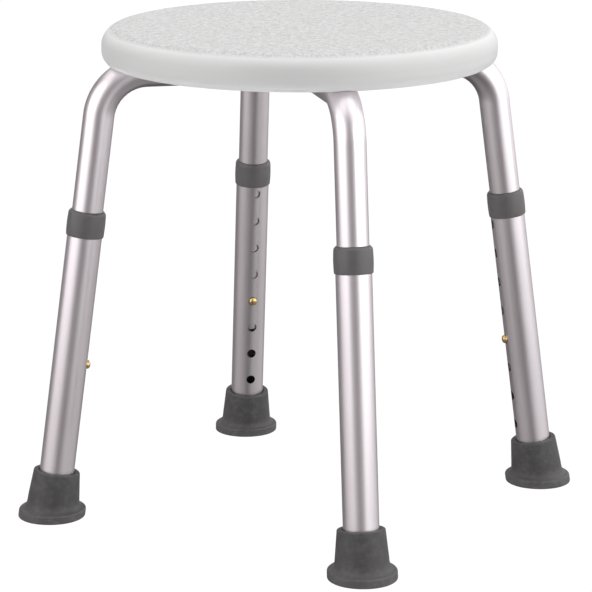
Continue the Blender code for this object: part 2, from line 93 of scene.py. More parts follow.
# The pebbled top's greys, from groove to pebble. They are darker than the rim's: a painted shade among the
# pebbles.
PEBBLE_SHADED_GREYS = ((0.505, 0.505, 0.505), (0.775, 0.775, 0.773))
PEBBLED_FROM = 0.0036  # below the top
PEBBLED_TO = 0.0022
SEAT_GRAIN_DEPTH = 0.00022
POCKET_RADIUS = 0.038
ARM_SCREW_RADIUS = 0.095
EDGE_ROUND = 0.0015  # where a channel, pocket or tack-off meets the underside
CLEARANCE = 0.0003
MERGE = 0.000002
CUT_PAST = 0.01  # how far a cutter stands out of what it cuts
TUBE_WALL = 0.0013
BEND_RADIUS = 0.040
LEGS = ("right", "rear", "left", "front")

joints = {joint["name"]: joint for joint in frame["joints"]}
mounts = {mount["name"]: mount for mount in frame["record"]["mounts"]}
seat_low, seat_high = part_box("seat")
seat_radius = seat_high.x
seat_top = seat_high.z
seat_base = seat_low.z
lower_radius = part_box("right_lower_tube")[1].y
upper_radius = lower_radius - TUBE_WALL - CLEARANCE
run_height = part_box("side_frame_tube")[1].z - upper_radius
foot_radius = mounts["right_foot"]["pos_m"][0]
slide_axis = Vector(joints["right_leg_slide"]["axis"])
splay = math.atan2(slide_axis.x, -slide_axis.z)


class Value:
    """A socket of a material. Adding or multiplying it, with a number or another socket, adds a Math node."""

    def __init__(self, finish, socket):
        self.finish = finish
        self.socket = socket

    def maths(self, operation, first, second):
        return self.finish.node("Math", {"operation": operation}, {0: first, 1: second})

    def __add__(self, other):
        return self.maths("ADD", self, other)

    def __radd__(self, other):
        return self.maths("ADD", other, self)

    def __mul__(self, other):
        return self.maths("MULTIPLY", self, other)

    def __rmul__(self, other):
        return self.maths("MULTIPLY", other, self)


class Finish:
    """One material: a Principled shader, and the nodes that vary it over the surface."""

    def __init__(self, name, colour, roughness, metallic=0.0, **constants):
        self.material = bpy.data.materials.new(name)
        self.material.use_nodes = True
        self.tree = self.material.node_tree
        self.shader = self.tree.nodes["Principled BSDF"]
        self.shader.inputs["Base Color"].default_value = (*colour, 1.0)
        self.shader.inputs["Roughness"].default_value = roughness
        self.shader.inputs["Metallic"].default_value = metallic
        for socket, value in constants.items():
            self.shader.inputs[socket.replace("_", " ")].default_value = value

    def node(self, kind, settings=None, inputs=None, out=0):
        """Any node: its settings are set first, then its sockets are given values or links."""
        made = self.tree.nodes.new("ShaderNode" + kind)
        for name, value in (settings or {}).items():
            if name == "stops":
                for element, (place, grey) in zip(made.color_ramp.elements, value):
                    element.position = place
                    element.color = (grey, grey, grey, 1.0)
            else:
                setattr(made, name, value)
        for name, value in (inputs or {}).items():
            if isinstance(value, Value):
                self.tree.links.new(value.socket, made.inputs[name])
            else:
                made.inputs[name].default_value = value
        return Value(self, made.outputs[out])

    def feed(self, socket, value):
        self.tree.links.new(value.socket, self.shader.inputs[socket])

    def place(self):
        """The point's own place on the piece, in metres."""
        return self.node("TexCoord", out="Object")

    def noise(self, where, scale, detail=2.0, rough=0.5):
        return self.node(
            "TexNoise", inputs={"Vector": where, "Scale": scale, "Detail": detail, "Roughness": rough}
        )

    def ramp(self, value, low, high):
        """0 below low, 1 above high."""
        return self.node("ValToRGB", {"stops": [(low, 0.0), (high, 1.0)]}, {"Fac": value})

    def tint(self, amount, first, second):
        """A colour between two, by a value from 0 to 1."""
        settings = {"data_type": "RGBA"}
        return self.node("Mix", settings, {0: amount, 6: (*first, 1.0), 7: (*second, 1.0)}, out=2)

    def bump(self, height, distance, strength=1.0):
        values = {"Height": height, "Distance": distance, "Strength": strength}
        self.feed("Normal", self.node("Bump", inputs=values))


def new_piece(name, mesh):
    piece = bpy.data.objects.new(name, mesh)
    bpy.context.scene.collection.objects.link(piece)
    return piece


def round_off(centre, radius, start_degrees, end_degrees, steps):
    """(radius, height) points along an arc of a turned outline."""
    turn = math.radians(end_degrees - start_degrees) / steps
    start = math.radians(start_degrees)
    return [
        (centre[0] + radius * math.cos(start + turn * i), centre[1] + radius * math.sin(start + turn * i))
        for i in range(steps + 1)
    ]


def turned_piece(name, outline, steps=64, ring=False):
    """A Screw of an outline of (radius, height) points that runs down its outer side, at its own origin."""
    mesh = bpy.data.meshes.new(name)
    edges = [(i, i + 1) for i in range(len(outline) - 1)]
    if ring:
        edges.append((len(outline) - 1, 0))
    mesh.from_pydata([(radius, 0, height) for radius, height in outline], edges, [])
    piece = new_piece(name, mesh)
    screw = piece.modifiers.new("turned", "SCREW")
    screw.steps = steps
    screw.render_steps = steps
    screw.use_merge_vertices = True
    screw.merge_threshold = MERGE
    settle(piece)
    return piece


def settle(piece):
    """Applies a piece's stack."""
    graph = bpy.context.evaluated_depsgraph_get()
    graph.update()
    done = bpy.data.meshes.new_from_object(piece.evaluated_get(graph))
    piece.modifiers.clear()
    piece.data = done


def carve(piece, *cutters):
    """Takes the cutters out of a piece, and removes them."""
    for cutter in cutters:
        boolean = piece.modifiers.new("carve", "BOOLEAN")
        boolean.operation = "DIFFERENCE"
        boolean.object = cutter
    settle(piece)
    for cutter in cutters:
        bpy.data.objects.remove(cutter)


def complete(piece, body, finish, slot, *nodes, sharp_degrees=35.0):
    """Shades a piece smooth between sharp edges, gives it its finish and body, and hides the nodes that it stands
    for. The slot is not used.
    """
    piece.data.materials.clear()
    piece.data.materials.append(finish.material)
    piece.data.shade_smooth()
    piece.data.set_sharp_from_angle(angle=math.radians(sharp_degrees))
    if body:
        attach(piece, body)
    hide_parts(*nodes)


def bent_stations(spacing, bend_steps, first):
    """(distance, height, slope, length) along half a frame tube's middle line: run, bend, then leg."""
    turn = math.pi / 2 - splay
    corner = foot_radius - run_height * math.tan(splay)
    bend_start = corner - BEND_RADIUS * math.tan(turn / 2)
    run_steps = math.ceil((bend_start - first) / spacing)
    stations = []
    for i in range(run_steps):
        distance = first + (bend_start - first) * i / run_steps
        stations.append((distance, run_height, 0.0, distance))
    for i in range(bend_steps + 1):
        slope = turn * i / bend_steps
        distance = bend_start + BEND_RADIUS * math.sin(slope)
        height = run_height - BEND_RADIUS * (1 - math.cos(slope))
        stations.append((distance, height, slope, bend_start + BEND_RADIUS * slope))
    distance, height, slope, length = stations[-1]
    leg_end = upper_tube_end * math.cos(splay)
    leg_length = (height - leg_end) / math.cos(splay)
    leg_steps = math.ceil(leg_length / spacing)
    for i in range(1, leg_steps + 1):
        down = leg_length * i / leg_steps
        place = (distance + down * math.sin(splay), height - down * math.cos(splay))
        stations.append((*place, slope, length + down))
    return stations


def both_sides(half):
    return [(-distance, height, -slope, -length) for distance, height, slope, length in reversed(half)] + half


def loft_mesh(name, rings, closed):
    """Quads between rings of points. Closed joins the last ring to the first, else both ends are filled."""
    count = len(rings[0])
    points = [point for ring in rings for point in ring]
    pairs = len(rings) if closed else len(rings) - 1
    faces = []
    for row in range(pairs):
        low = row * count
        high = (row + 1) % len(rings) * count
        for i in range(count):
            j = (i + 1) % count
            faces.append((low + i, low + j, high + j, high + i))
    if not closed:
        faces.append(tuple(range(count))[::-1])
        faces.append(tuple(range(len(points) - count, len(points))))
    mesh = bpy.data.meshes.new(name)
    mesh.from_pydata(points, [], faces)
    return mesh


def face_out(mesh):
    """Merges doubles and turns every face outwards."""
    shape = bmesh.new()
    shape.from_mesh(mesh)
    bmesh.ops.remove_doubles(shape, verts=shape.verts, dist=MERGE)
    bmesh.ops.recalc_face_normals(shape, faces=shape.faces)
    shape.to_mesh(mesh)
    shape.free()


def leg_matrix(side):
    """Z runs up a leg from the floor, and X points away from the stool's middle."""
    up = -Vector(joints[f"{side}_leg_slide"]["axis"])
    out = Vector(joints[f"{side}_button_press"]["axis"])
    turn = Matrix((out, up.cross(out), up)).transposed().to_4x4()
    return Matrix.Translation(mounts[f"{side}_foot"]["pos_m"]) @ turn


def span_on_leg(node, side="right"):
    """Lowest and highest corner of a node, measured in its leg's own frame."""
    inverse = leg_matrix(side).inverted()
    points = [inverse @ vertex.co for vertex in frame["nodes"][node].data.vertices]
    low = Vector(min(point[axis] for point in points) for axis in range(3))
    high = Vector(max(point[axis] for point in points) for axis in range(3))
    return low, high


upper_tube_end = (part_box("side_frame_tube")[0].z + upper_radius * math.sin(splay)) / math.cos(splay)


def channel_cutter(quarter):
    """What a tube's channel takes out of the underside: round over the tube, and eased at its mouth."""
    radius = upper_radius + CLEARANCE
    mouth = seat_base - run_height
    ease_top = mouth + EDGE_ROUND
    start = math.asin(ease_top / radius)
    side = radius * math.cos(start)
    outline = []
    for i in range(33):
        angle = start + (math.pi - 2 * start) * i / 32
        outline.append((radius * math.cos(angle), radius * math.sin(angle)))
    ease = []
    for i in range(1, 7):
        angle = math.radians(15 * i)
        ease.append((side + EDGE_ROUND * (1 - math.cos(angle)), ease_top - EDGE_ROUND * math.sin(angle)))
    wide = side + EDGE_ROUND
    outline += [(-across, up) for across, up in ease]
    outline += [(-wide, -radius), (wide, -radius), *reversed(ease)]
    rings = []
    for distance, height, slope, _ in both_sides(bent_stations(spacing=0.02, bend_steps=14, first=0.01)):
        ring = [
            Vector((distance + up * math.sin(slope), across, height + up * math.cos(slope)))
            for across, up in outline
        ]
        rings.append(ring)
    mesh = loft_mesh("channel", rings, closed=False)
    face_out(mesh)
    mesh.transform(Matrix.Rotation(quarter * math.pi / 2, 4, "Z"))
    return new_piece("channel", mesh)


def recess_cutter(place, mouth, end, depth, steps=48):
    """A round recess of the underside, eased at its mouth and at its end."""
    level = seat_base + depth
    outline = [(0.0, level), *round_off((end - EDGE_ROUND, level - EDGE_ROUND), EDGE_ROUND, 90, 0, 5)]
    for i in range(6):
        angle = math.radians(15 * i)
        out = mouth + EDGE_ROUND * (1 - math.cos(angle))
        outline.append((out, seat_base + EDGE_ROUND * (1 - math.sin(angle))))
    outline += [(mouth + EDGE_ROUND, seat_base - CUT_PAST), (0.0, seat_base - CUT_PAST)]
    cutter = turned_piece("recess", outline, steps)
    cutter.data.transform(Matrix.Translation((*place, 0)))
    return cutter


def on_diagonals(distance):
    return [
        (distance * math.cos(math.radians(degrees)), distance * math.sin(math.radians(degrees)))
        for degrees in (45, 135, 225, 315)
    ]


def on_arms(distance):
    return [(distance, 0.0), (0.0, distance), (-distance, 0.0), (0.0, -distance)]


def crown_height(radius):
    """Height of the smooth top at a distance from its middle."""
    over = max(radius - (seat_radius - SEAT_TOP_ROUND), 0.0)
    return seat_top - SEAT_TOP_ROUND + math.sqrt(SEAT_TOP_ROUND**2 - over**2)


def pebble(x, y):
    """0 in the grooves between the pebbles, 1 on the highest of them."""
    spot = Vector((x, y, 0))
    from_middle = noise.voronoi(spot / PEBBLE_SPACING)[0][0]
    lump = noise.noise(spot / LUMP_SPACING)
    fine = noise.noise(spot / (PEBBLE_SPACING * 0.45))
    return min(max(0.62 - 0.55 * from_middle**1.5 + 0.30 * lump + 0.16 * fine, 0.0), 1.0)


def disc_place(across, up):
    """Where a square's point goes when the square is drawn out evenly into a disc."""
    if across == up == 0.0:
        return 0.0, 0.0
    if abs(across) > abs(up):
        reach, angle = across, math.pi / 4 * up / across
    else:
        reach, angle = up, math.pi / 2 - math.pi / 4 * across / up
    return PEBBLED_RADIUS * reach * math.cos(angle), PEBBLED_RADIUS * reach * math.sin(angle)


def top_point(x, y, sinks):
    """A point of the pebbled top, and how high its pebble is. Posts below leave shallow sinks in the skin."""
    level = pebble(x, y)
    nearest = min(math.hypot(x - sink[0], y - sink[1]) for sink in sinks)
    sunk = SINK_DEPTH * math.exp(-((nearest / SINK_RADIUS) ** 2))
    fade = 1 - smooth_step((math.hypot(x, y) - PEBBLED_RADIUS + PEBBLE_FADE) / PEBBLE_FADE)
    rise = PEBBLE_RISE * (level - 0.5) * fade
    return Vector((x, y, crown_height(math.hypot(x, y)) - sunk + rise)), level


def smooth_step(value):
    share = min(max(value, 0.0), 1.0)
    return share * share * (3 - 2 * share)


def pebble_the_top(mesh, sinks):
    """Swaps the shell's plain cap for a fine one with real pebbles, joined to the same ring of points."""
    shape = bmesh.new()
    shape.from_mesh(mesh)
    mark = shape.verts.layers.float.new("pebble")
    for vertex in shape.verts:
        vertex[mark] = 0.5
    level = crown_height(PEBBLED_RADIUS) - 0.00001
    shape.verts.ensure_lookup_table()
    near = 0.0001
    on_level = [v for v in shape.verts if abs(v.co.z - level) < near]
    rim = [v for v in on_level if abs(v.co.xy.length - PEBBLED_RADIUS) < near]
    rim.sort(key=lambda v: math.atan2(v.co.y, v.co.x) % (2 * math.pi))
    cap = [face for face in shape.faces if all(v.co.z > level - 0.00005 for v in face.verts)]
    bmesh.ops.delete(shape, geom=cap, context="FACES_KEEP_BOUNDARY")
    spans = PEBBLED_SPANS
    grid = []
    for row in range(spans + 1):
        line = []
        for column in range(spans + 1):
            place = disc_place(2 * column / spans - 1, 2 * row / spans - 1)
            point, height = top_point(*place, sinks)
            edge = row in (0, spans) or column in (0, spans)
            if edge:
                point.xy *= CAP_SHARE
            vertex = shape.verts.new(point)
            vertex[mark] = 0.5 if edge else height
            line.append(vertex)
        grid.append(line)
    for row in range(spans):
        for column in range(spans):
            low, high = grid[row], grid[row + 1]
            shape.faces.new((low[column], low[column + 1], high[column + 1], high[column]))
    loop = grid[0][:-1] + [line[-1] for line in grid[:-1]]
    loop += grid[-1][:0:-1] + [line[0] for line in grid[:0:-1]]
    loop.sort(key=lambda v: math.atan2(v.co.y, v.co.x) % (2 * math.pi))
    per_step = len(loop) // len(rim)
    for index, outer in enumerate(rim):
        after = rim[(index + 1) % len(rim)]
        inner = [loop[(index * per_step + step) % len(loop)] for step in range(per_step + 1)]
        half = per_step // 2
        for step in range(per_step):
            shape.faces.new((inner[step + 1], inner[step], outer if step < half else after))
        shape.faces.new((inner[half], outer, after))
    bmesh.ops.recalc_face_normals(shape, faces=shape.faces)
    shape.to_mesh(mesh)
    shape.free()


def make_seat():
    flat_edge = seat_radius - SEAT_TOP_ROUND
    pebbled_degrees = 90 - math.degrees(math.asin((PEBBLED_RADIUS - flat_edge) / SEAT_TOP_ROUND))
    outline = [(0.0, crown_height(PEBBLED_RADIUS))]
    outline += round_off((flat_edge, seat_top - SEAT_TOP_ROUND), SEAT_TOP_ROUND, pebbled_degrees, 0, 16)
    middle = (seat_radius - SEAT_BASE_ROUND, seat_base + SEAT_BASE_ROUND)
    before = PARTING_DEGREES - 3
    after = PARTING_DEGREES + 3
    outline += round_off(middle, SEAT_BASE_ROUND, 0, -before, 10)
    crest = math.radians(-PARTING_DEGREES)
    proud = SEAT_BASE_ROUND + PARTING_PROUD
    outline.append((middle[0] + proud * math.cos(crest), middle[1] + proud * math.sin(crest)))
    outline += round_off(middle, SEAT_BASE_ROUND, -after, -90, 8)
    outline += [(seat_radius * share, seat_base) for share in (0.8, 0.5, 0.2, 0.0)]
    seat = turned_piece("seat_shell", outline, SEAT_STEPS)
    face_out(seat.data)
    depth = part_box("centre_insert")[0].z - CLEARANCE - seat_base
    pocket = recess_cutter((0, 0), POCKET_RADIUS, POCKET_RADIUS, depth, 72)
    cutters = [channel_cutter(0), channel_cutter(1), pocket]
    tack_depth = seat_top - TACK_OFF_SKIN - seat_base
    for place in on_diagonals(TACK_OFF_RADIUS):
        cutters.append(recess_cutter(place, TACK_OFF_MOUTH, TACK_OFF_END, tack_depth))
    for place in on_diagonals(DRAIN_RADIUS):
        cutters.append(recess_cutter(place, DRAIN_HOLE, DRAIN_HOLE, DRAIN_DEPTH, 24))
    carve(seat, *cutters)
    pebble_the_top(seat.data, [*on_diagonals(TACK_OFF_RADIUS), *on_arms(ARM_SCREW_RADIUS), (0.0, 0.0)])
    return seat


def seat_finish():
    """White polyethylene, shinier round the rim. The pebbled top is painted greyer than the rim, and greyer still
    in the grooves between the pebbles than on the pebbles: a painted shade. The rim is painted paler towards its
    top round: a painted highlight.
    """
    finish = Finish("seat_plastic", (0.70, 0.70, 0.70), 0.45, IOR=1.5)
    place = finish.place()
    height = finish.node("SeparateXYZ", inputs={"Vector": place}, out="Z")
    span = {"Value": height, "From Min": seat_top - PEBBLED_FROM, "From Max": seat_top - PEBBLED_TO}
    on_top = finish.node("MapRange", inputs=span)
    raised = finish.node("Attribute", {"attribute_name": "pebble"}, out="Fac")
    grain = finish.noise(place, 700.0, 3.0, 0.6)
    fine = finish.noise(place, 2600.0, 2.0)
    broad = finish.noise(place, 22.0, 2.0)
    finish.bump(grain * (on_top * 0.8 + 0.12) + fine * 0.15, SEAT_GRAIN_DEPTH, 0.6)
    # Painted shade: the pebbled top is painted greyer than the rim, and greyest in the grooves between the
    # pebbles. The noise in it is the plastic's own mottle.
    mottle_and_groove_shade = finish.ramp(raised * 0.4 + grain * 0.7 + finish.noise(place, 470.0, 2.0) * 0.6, 0.62, 1.06)
    # Painted highlight: the smooth side is painted paler towards the top round.
    painted_highlight_span = {"Value": height, "From Min": seat_top - SIDE_HIGHLIGHT_FROM, "From Max": seat_top - SIDE_HIGHLIGHT_TO}
    smooth = finish.tint(finish.node("MapRange", inputs=painted_highlight_span), *SEAT_SIDE_AND_HIGHLIGHT_GREYS)
    pebbled = finish.tint(mottle_and_groove_shade, *PEBBLE_SHADED_GREYS)
    shade = finish.node("Mix", {"data_type": "RGBA"}, {0: on_top, 6: smooth, 7: pebbled}, out=2)
    finish.feed("Base Color", shade)
    finish.feed("Roughness", on_top * 0.16 + broad * 0.10 + fine * 0.06 + 0.30)
    return finish


seat_plastic = seat_finish()
seat = make_seat()
complete(seat, "frame", seat_plastic, "seat_plastic", "seat")

# ----------------------------------------
# Frame tubes: two lengths of 25.4 mm aluminium tube, each bent twice into a U and satin anodised. The middle
# of each is pressed to half its depth and widened, so that the two cross at one level under the seat. The
# bender leaves faint ripples on the inside of each bend. A hole under each arm lets the key in to its screw.
# ----------------------------------------
TUBE_SIDES = 64
CRIMP_FLAT = 0.0165
CRIMP_END = 0.034
CRIMP_WIDENING = 0.12
CROSSING_GAP = 0.00015
RIPPLE_DEPTH = 0.00012
RIPPLE_PITCH = 0.0058
END_CHAMFER = 0.0003
SCREW_HOLE = 0.0030
ACCESS_HOLE = 0.0060
SILVERS = ((0.675, 0.630, 0.662), (0.80, 0.755, 0.792))
DRAWN_LINE_DEPTH = 0.00003
# Painted shade: the colour of the lower legs' hole walls.
HOLE_SHADE_COLOUR = (0.10, 0.09, 0.09)
SKIN = 0.00005  # metal nearer than this to the tube's own surfaces keeps its silver
LOWER_LEG_MARK = 1.0  # added to the lower legs' marks, which tells them from the frame's
CENTRE_HOLE = 0.0035
BUTTON_HOLE = 0.00395


def tube_ring(station, radius, keep, wall):
    """One section. keep is 1 where the crimp keeps the upper half, and -1 where it keeps the lower."""
    distance, height, slope, length = station
    pressed = 1 - smooth_step((abs(distance) - CRIMP_FLAT) / (CRIMP_END - CRIMP_FLAT))
    flat = -radius + pressed * (radius + CROSSING_GAP + wall)
    width = radius * (1 + CRIMP_WIDENING * pressed)
    bend_share = math.sin(min(abs(slope) / (math.pi / 2 - splay), 1.0) * math.pi)
    ripple = RIPPLE_DEPTH * bend_share * math.sin(2 * math.pi * length / RIPPLE_PITCH)
    ring = []
    drawn = []
    for i in range(TUBE_SIDES):
        angle = 2 * math.pi * i / TUBE_SIDES
        inner_side = max(-math.sin(angle), 0.0) ** 2
        across = width * math.cos(angle)
        up = (radius + ripple * inner_side) * math.sin(angle)
        up = keep * max(keep * up, flat)
        ring.append(Vector((distance + up * math.sin(slope), across, height + up * math.cos(slope))))
        drawn.append((across, up, length))
    return ring, drawn


def draw_mark(mesh, values):
    """Stores where each point lies on the straight tube, so that the drawing lines follow the bends."""
    mark = mesh.attributes.new("drawn", "FLOAT_VECTOR", "POINT")
    mark.data.foreach_set("vector", [number for value in values for number in value])


def post_cutter(x, y, radius, low, high, steps=32):
    outline = [(0.0, high), (radius, high), (radius, low), (0.0, low)]
    cutter = turned_piece("post", outline, steps)
    cutter.data.transform(Matrix.Translation((x, y, 0)))
    return cutter


def hole_cutter(side, s):
    """A peg square to a leg, through the wall that faces the stool's middle."""
    reach = -lower_radius * 1.5
    outline = [(0.0, 0.0), (BUTTON_HOLE, 0.0), (BUTTON_HOLE, reach), (0.0, reach)]
    cutter = turned_piece("peg", outline, 32)
    start = Matrix.Translation((-lower_radius * 0.5, 0, s)) @ Matrix.Rotation(math.pi / 2, 4, "Y")
    cutter.data.transform((leg_matrix(side) if side else Matrix.Identity(4)) @ start)
    return cutter


def make_frame_tube(name, node, quarter, keep, sides):
    stations = both_sides(bent_stations(spacing=0.0035, bend_steps=30, first=0.0015))
    inside = upper_radius - TUBE_WALL
    outer = []
    inner = []
    for number, station in enumerate(stations):
        trim = END_CHAMFER if number in (0, len(stations) - 1) else 0.0
        outer.append(tube_ring(station, upper_radius - trim, keep, 0.0))
        inner.append(tube_ring(station, inside + trim, keep, TUBE_WALL))
    loops = outer + inner[::-1]
    mesh = loft_mesh(name, [ring for ring, _ in loops], closed=True)
    draw_mark(mesh, [value for _, drawn in loops for value in drawn])
    mesh.transform(Matrix.Rotation(quarter * math.pi / 2, 4, "Z"))
    face_out(mesh)
    tube = new_piece(name, mesh)
    arms = [on_arms(ARM_SCREW_RADIUS)[index] for index in (quarter, quarter + 2)]
    low = run_height - 2 * upper_radius
    high = run_height + 2 * upper_radius
    posts = [post_cutter(x, y, SCREW_HOLE, run_height, high) for x, y in arms]
    posts += [post_cutter(x, y, ACCESS_HOLE, low, run_height, 40) for x, y in arms]
    pegs = [hole_cutter(side, button_s) for side in sides]
    carve(tube, post_cutter(0, 0, CENTRE_HOLE, low, high), *posts, *pegs)
    complete(tube, "frame", aluminium, "anodised_aluminium", node)


def aluminium_finish():
    """Satin anodising over drawn tube: a faintly rosy silver, softly clouded, with fine lines along it. The lower
    legs' hole walls are made rougher and painted near black: a painted shade.
    """
    finish = Finish("anodised_aluminium", (0.735, 0.68, 0.70), 0.35, 1.0)
    drawn = finish.node("Attribute", {"attribute_name": "drawn"}, out="Vector")
    along = finish.node("Mapping", inputs={"Vector": drawn, "Scale": (1.0, 1.0, 0.012)})
    cloud_place = finish.node("Mapping", inputs={"Vector": drawn, "Scale": (1.0, 1.0, 0.25)})
    lines = finish.noise(along, 2600.0, 3.0, 0.6)
    broad_lines = finish.noise(along, 420.0, 2.0)
    cloud = finish.noise(cloud_place, 60.0, 3.0)
    specks = finish.ramp(finish.noise(drawn, 900.0, 2.0), 0.70, 0.80)
    across = finish.node("VectorMath", {"operation": "MULTIPLY"}, {0: drawn, 1: (1.0, 1.0, 0.0)})
    radius = finish.node("VectorMath", {"operation": "LENGTH"}, {0: across}, out="Value")
    bore = lower_radius - TUBE_WALL
    past_bore = {"Value": radius, "From Min": bore + SKIN, "From Max": bore + 0.0002}
    below_skin = {"Value": radius, "From Min": lower_radius - SKIN, "From Max": lower_radius - 0.0003}
    along_tube = finish.node("SeparateXYZ", inputs={"Vector": drawn}, out="Z")
    on_lower_leg = finish.node("Math", {"operation": "GREATER_THAN"}, {0: along_tube, 1: LOWER_LEG_MARK / 2})
    in_wall = finish.node("MapRange", inputs=past_bore) * finish.node("MapRange", inputs=below_skin)
    # Painted shade: the lower legs' hole walls are painted near black. They are also made rougher.
    shaded_hole_wall = in_wall * on_lower_leg
    silver = finish.tint(cloud * 0.6 + lines * 0.4, *SILVERS)
    shade = {0: shaded_hole_wall, 6: silver, 7: (*HOLE_SHADE_COLOUR, 1.0)}
    finish.feed("Base Color", finish.node("Mix", {"data_type": "RGBA"}, shade, out=2))
    worn = lines * 0.10 + broad_lines * 0.06 + cloud * 0.06 + specks * 0.08
    finish.feed("Roughness", worn + shaded_hole_wall * 0.3 + 0.24)
    finish.bump(lines * 0.7 + broad_lines * 0.3, DRAWN_LINE_DEPTH, 0.35)
    return finish


button_low, button_high = span_on_leg("right_snap_button")
button_s = (button_low.z + button_high.z) / 2
aluminium = aluminium_finish()
make_frame_tube("side_frame_bent_tube", "side_frame_tube", 0, 1, ("right", "left"))
make_frame_tube("fore_aft_frame_bent_tube", "fore_aft_frame_tube", 1, -1, ("rear", "front"))

# ----------------------------------------
# Fasteners: pan-head screws of plated steel, driven upwards with a hexagon key into brass inserts that were
# moulded into the seat. The middle one clamps both tubes through a plastic saddle. The arms' screws sit
# inside the tubes on crowned washers, so that nothing stands out to catch a hand.
# ----------------------------------------
FASTENER_STEPS = 40
CENTRE_SHANK = 0.0029
ARM_SHANK = 0.0024
HEAD_ROUND = 0.0016
SOCKET_SHARE = 0.5
SOCKET_DEPTH_SHARE = 0.6
SHANK_CHAMFER = 0.0008
THREAD_PITCH = 0.0009
THREAD_DEPTH = 0.00025
THREAD_TURNS = 9
SADDLE_EDGE = 0.0007
SADDLE_WRAP = 0.0022
BED_HALF = 0.03
HEAD_EDGE = 0.0004
ZINCS = ((0.52, 0.53, 0.55), (0.68, 0.68, 0.67))
DARK_PLASTICS = ((0.113, 0.107, 0.109), (0.178, 0.169, 0.171))
BRASSES = ((0.78, 0.56, 0.26), (0.50, 0.34, 0.15))
SPARK_TEXTURE_DEPTH = 0.00014
TARNISH_DEPTH = 0.00002


def make_screw(name, node, washer_node, shank):
    """The thread is drawn as plain grooves, one for each turn that the insert holds."""
    low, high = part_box(node)
    head = (high.x - low.x) / 2
    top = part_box(washer_node)[0].z - CLEARANCE
    outline = [(0.0, high.z), (shank - SHANK_CHAMFER, high.z), (shank, high.z - SHANK_CHAMFER)]
    for i in range(THREAD_TURNS):
        level = high.z - SHANK_CHAMFER - THREAD_PITCH * (i + 0.5)
        outline += [(shank - THREAD_DEPTH, level), (shank, level - THREAD_PITCH / 2)]
    outline += [(shank, top), (head - HEAD_EDGE, top), (head, top - HEAD_EDGE)]
    outline += round_off((head - HEAD_ROUND, low.z + HEAD_ROUND), HEAD_ROUND, 0, -90, 7)
    outline.append((0.0, low.z))
    screw = turned_piece(name, outline, FASTENER_STEPS)
    depth = (top - low.z) * SOCKET_DEPTH_SHARE
    socket = [(0.0, low.z + depth), (head * SOCKET_SHARE, low.z + depth)]
    below = low.z - 0.001
    socket += [(head * SOCKET_SHARE, below), (0.0, below)]
    carve(screw, turned_piece("key_socket", socket, 6))
    x, y = (low.x + high.x) / 2, (low.y + high.y) / 2
    screw.data.transform(Matrix.Translation((x, y, 0)))
    complete(screw, "frame", plated_steel, "steel", node)


def make_saddle(name, node, hole):
    """A washer hollowed on top to fit the crossing's widened underside."""
    low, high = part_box(node)
    outside = (high.x - low.x) / 2
    top = run_height - upper_radius + SADDLE_WRAP
    outline = [
        (hole, top),
        (outside - SADDLE_EDGE, top),
        (outside, top - SADDLE_EDGE),
        *round_off((outside - SADDLE_EDGE, low.z + SADDLE_EDGE), SADDLE_EDGE, 0, -90, 5),
        (hole, low.z),
    ]
    washer = turned_piece(name, outline, 48, ring=True)
    face_out(washer.data)
    radius = upper_radius + CLEARANCE
    bed_outline = [(0.0, BED_HALF), (radius, BED_HALF), (radius, -BED_HALF), (0.0, -BED_HALF)]
    bed = turned_piece("tube_bed", bed_outline, TUBE_SIDES)
    widen = Matrix.Diagonal((1 + CRIMP_WIDENING, 1, 1, 1))
    bed.data.transform(Matrix.Translation((0, 0, run_height)) @ widen @ Matrix.Rotation(math.pi / 2, 4, "X"))
    carve(washer, bed)
    complete(washer, "frame", collar_plastic, "collar_plastic", node)


def steel_finish():
    """Bright zinc plating: cool, a little cloudy, with faint turning marks."""
    finish = Finish("plated_steel", (0.60, 0.61, 0.63), 0.3, 1.0)
    place = finish.place()
    rings = finish.node("Mapping", inputs={"Vector": place, "Scale": (0.05, 0.05, 1.0)})
    marks = finish.noise(rings, 5200.0, 2.0)
    cloud = finish.noise(place, 500.0, 3.0)
    finish.feed("Base Color", finish.tint(cloud, *ZINCS))
    finish.feed("Roughness", cloud * 0.16 + marks * 0.10 + 0.16)
    finish.bump(marks, TARNISH_DEPTH, 0.3)
    return finish


def dark_plastic_finish():
    """Dark grey polypropylene with a fine spark-eroded texture and a few lighter scuffs."""
    finish = Finish("collar_plastic", (0.118, 0.112, 0.113), 0.42, IOR=1.49)
    place = finish.place()
    texture = finish.noise(place, 1800.0, 3.0)
    cloud = finish.noise(place, 90.0, 3.0)
    scuffs = finish.ramp(finish.noise(place, 240.0, 4.0, 0.7), 0.62, 0.74)
    shade = cloud * 0.5 + scuffs * 0.35
    finish.feed("Base Color", finish.tint(shade, *DARK_PLASTICS))
    finish.feed("Roughness", texture * 0.14 + scuffs * 0.10 + 0.32)
    finish.bump(texture, SPARK_TEXTURE_DEPTH, 0.7)
    return finish


def brass_finish():
    """Turned brass, warm and slightly dulled by water."""
    finish = Finish("turned_brass", (0.72, 0.50, 0.22), 0.28, 1.0)
    place = finish.place()
    dull = finish.ramp(finish.noise(place, 700.0, 4.0, 0.6), 0.40, 0.75)
    finish.feed("Base Color", finish.tint(dull, *BRASSES))
    finish.feed("Roughness", dull * 0.22 + 0.20)
    finish.bump(dull, TARNISH_DEPTH, 0.3)
    return finish


def refinish(node, finish):
    """Gives a CAD node that keeps its shape a finished material."""
    slots = frame["nodes"][node].data.materials
    slots.clear()
    slots.append(finish.material)


